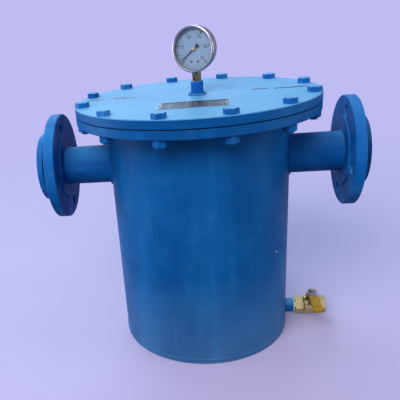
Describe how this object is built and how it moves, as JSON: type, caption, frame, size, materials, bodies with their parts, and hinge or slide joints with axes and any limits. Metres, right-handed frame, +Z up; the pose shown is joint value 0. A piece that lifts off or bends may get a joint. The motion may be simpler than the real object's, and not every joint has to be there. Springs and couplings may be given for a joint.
{
  "type": "steam water separator",
  "caption": "Vertical flanged separator vessel with a bolted cover, loose side flanges, a pressure gauge and a drain ball valve.",
  "frame": {"origin": "centre of the flat base, on the surface that the vessel stands on", "axes": "+Z up along the shell, +X out of the outlet nozzle, -Y towards the nameplate"},
  "size_m": [0.5, 0.368, 0.4934],
  "materials": {
    "blue_paint": "brushed-on enamel, semi-gloss",
    "inner_steel": "rolled and welded, plain",
    "mesh_steel": "knitted wire pad",
    "gasket": "matt sheet",
    "nameplate_metal": "satin",
    "case_steel": "polished",
    "gauge_glass": "clear",
    "dial_white": "satin print",
    "pointer_black": "matt",
    "brass": "machined, bright",
    "gauge_brass": "tarnished",
    "ptfe": "soft white",
    "zinc_steel": "zinc plated",
    "yellow_grip": "dipped vinyl"
  },
  "bodies": {
    "vessel": {"bottom_plate": "blue_paint", "shell_tube": "blue_paint", "shell_flange": "blue_paint", "cover_plate": "blue_paint", "cover_bolts": "blue_paint", "cover_nuts": "blue_paint", "inlet_pipe": "blue_paint", "inlet_collar": "blue_paint", "outlet_pipe": "blue_paint", "outlet_collar": "blue_paint", "gauge_boss": "blue_paint", "drain_coupling": "blue_paint", "inlet_baffle": "inner_steel", "outlet_elbow": "inner_steel", "filter_top_cap": "inner_steel", "filter_core": "inner_steel", "filter_bottom_cap": "inner_steel", "rod_bridge": "inner_steel", "filter_tie_rod": "inner_steel", "tie_rod_nut": "inner_steel", "splash_plate": "inner_steel", "splash_lugs": "inner_steel", "filter_mesh": "mesh_steel", "cover_gasket": "gasket", "nameplate": "nameplate_metal", "gauge_case": "case_steel", "gauge_bezel": "case_steel", "gauge_window": "gauge_glass", "gauge_dial": "dial_white", "gauge_socket": "gauge_brass", "movement_frame": "gauge_brass", "bourdon_tube": "gauge_brass", "drain_nipple": "brass", "valve_body": "brass", "valve_end_piece": "brass", "gland_nut": "brass", "thread_tape": "ptfe", "valve_seats": "ptfe", "stem_packing": "ptfe", "dial_screws": "zinc_steel"},
    "inlet_flange_ring": {"inlet_flange": "blue_paint"},
    "outlet_flange_ring": {"outlet_flange": "blue_paint"},
    "pointer": {"gauge_pointer": "pointer_black", "pointer_arbor": "gauge_brass"},
    "sector": {"gear_sector": "gauge_brass"},
    "valve_handle": {"valve_lever": "zinc_steel", "lever_grip": "yellow_grip", "lever_nut": "zinc_steel", "valve_stem": "zinc_steel", "valve_ball": "zinc_steel"}
  },
  "joints": [
    {"name": "inlet_flange_turn", "type": "hinge", "parent": "vessel", "child": "inlet_flange_ring", "pos_m": [-0.222, 0, 0.296], "axis": [-1, 0, 0], "continuous": true},
    {"name": "outlet_flange_turn", "type": "hinge", "parent": "vessel", "child": "outlet_flange_ring", "pos_m": [0.2277, 0, 0.296], "axis": [1, 0, 0], "continuous": true},
    {"name": "pointer_turn", "type": "hinge", "parent": "vessel", "child": "pointer", "pos_m": [0.0024, 0, 0.4605], "axis": [0.4226, 0.9063, 0], "range_deg": [0, 270]},
    {"name": "sector_turn", "type": "hinge", "parent": "vessel", "child": "sector", "pos_m": [0.0024, 0, 0.4473], "axis": [0.4226, 0.9063, 0], "range_deg": [-60, 0]},
    {"name": "valve_turn", "type": "hinge", "parent": "vessel", "child": "valve_handle", "pos_m": [0.1865, 0, 0.022], "axis": [0, 0, 1], "range_deg": [0, 90]}
  ],
  "couplings": [
    {"joint": "sector_turn", "follows": "pointer_turn", "ratio": -0.22222}
  ]
}
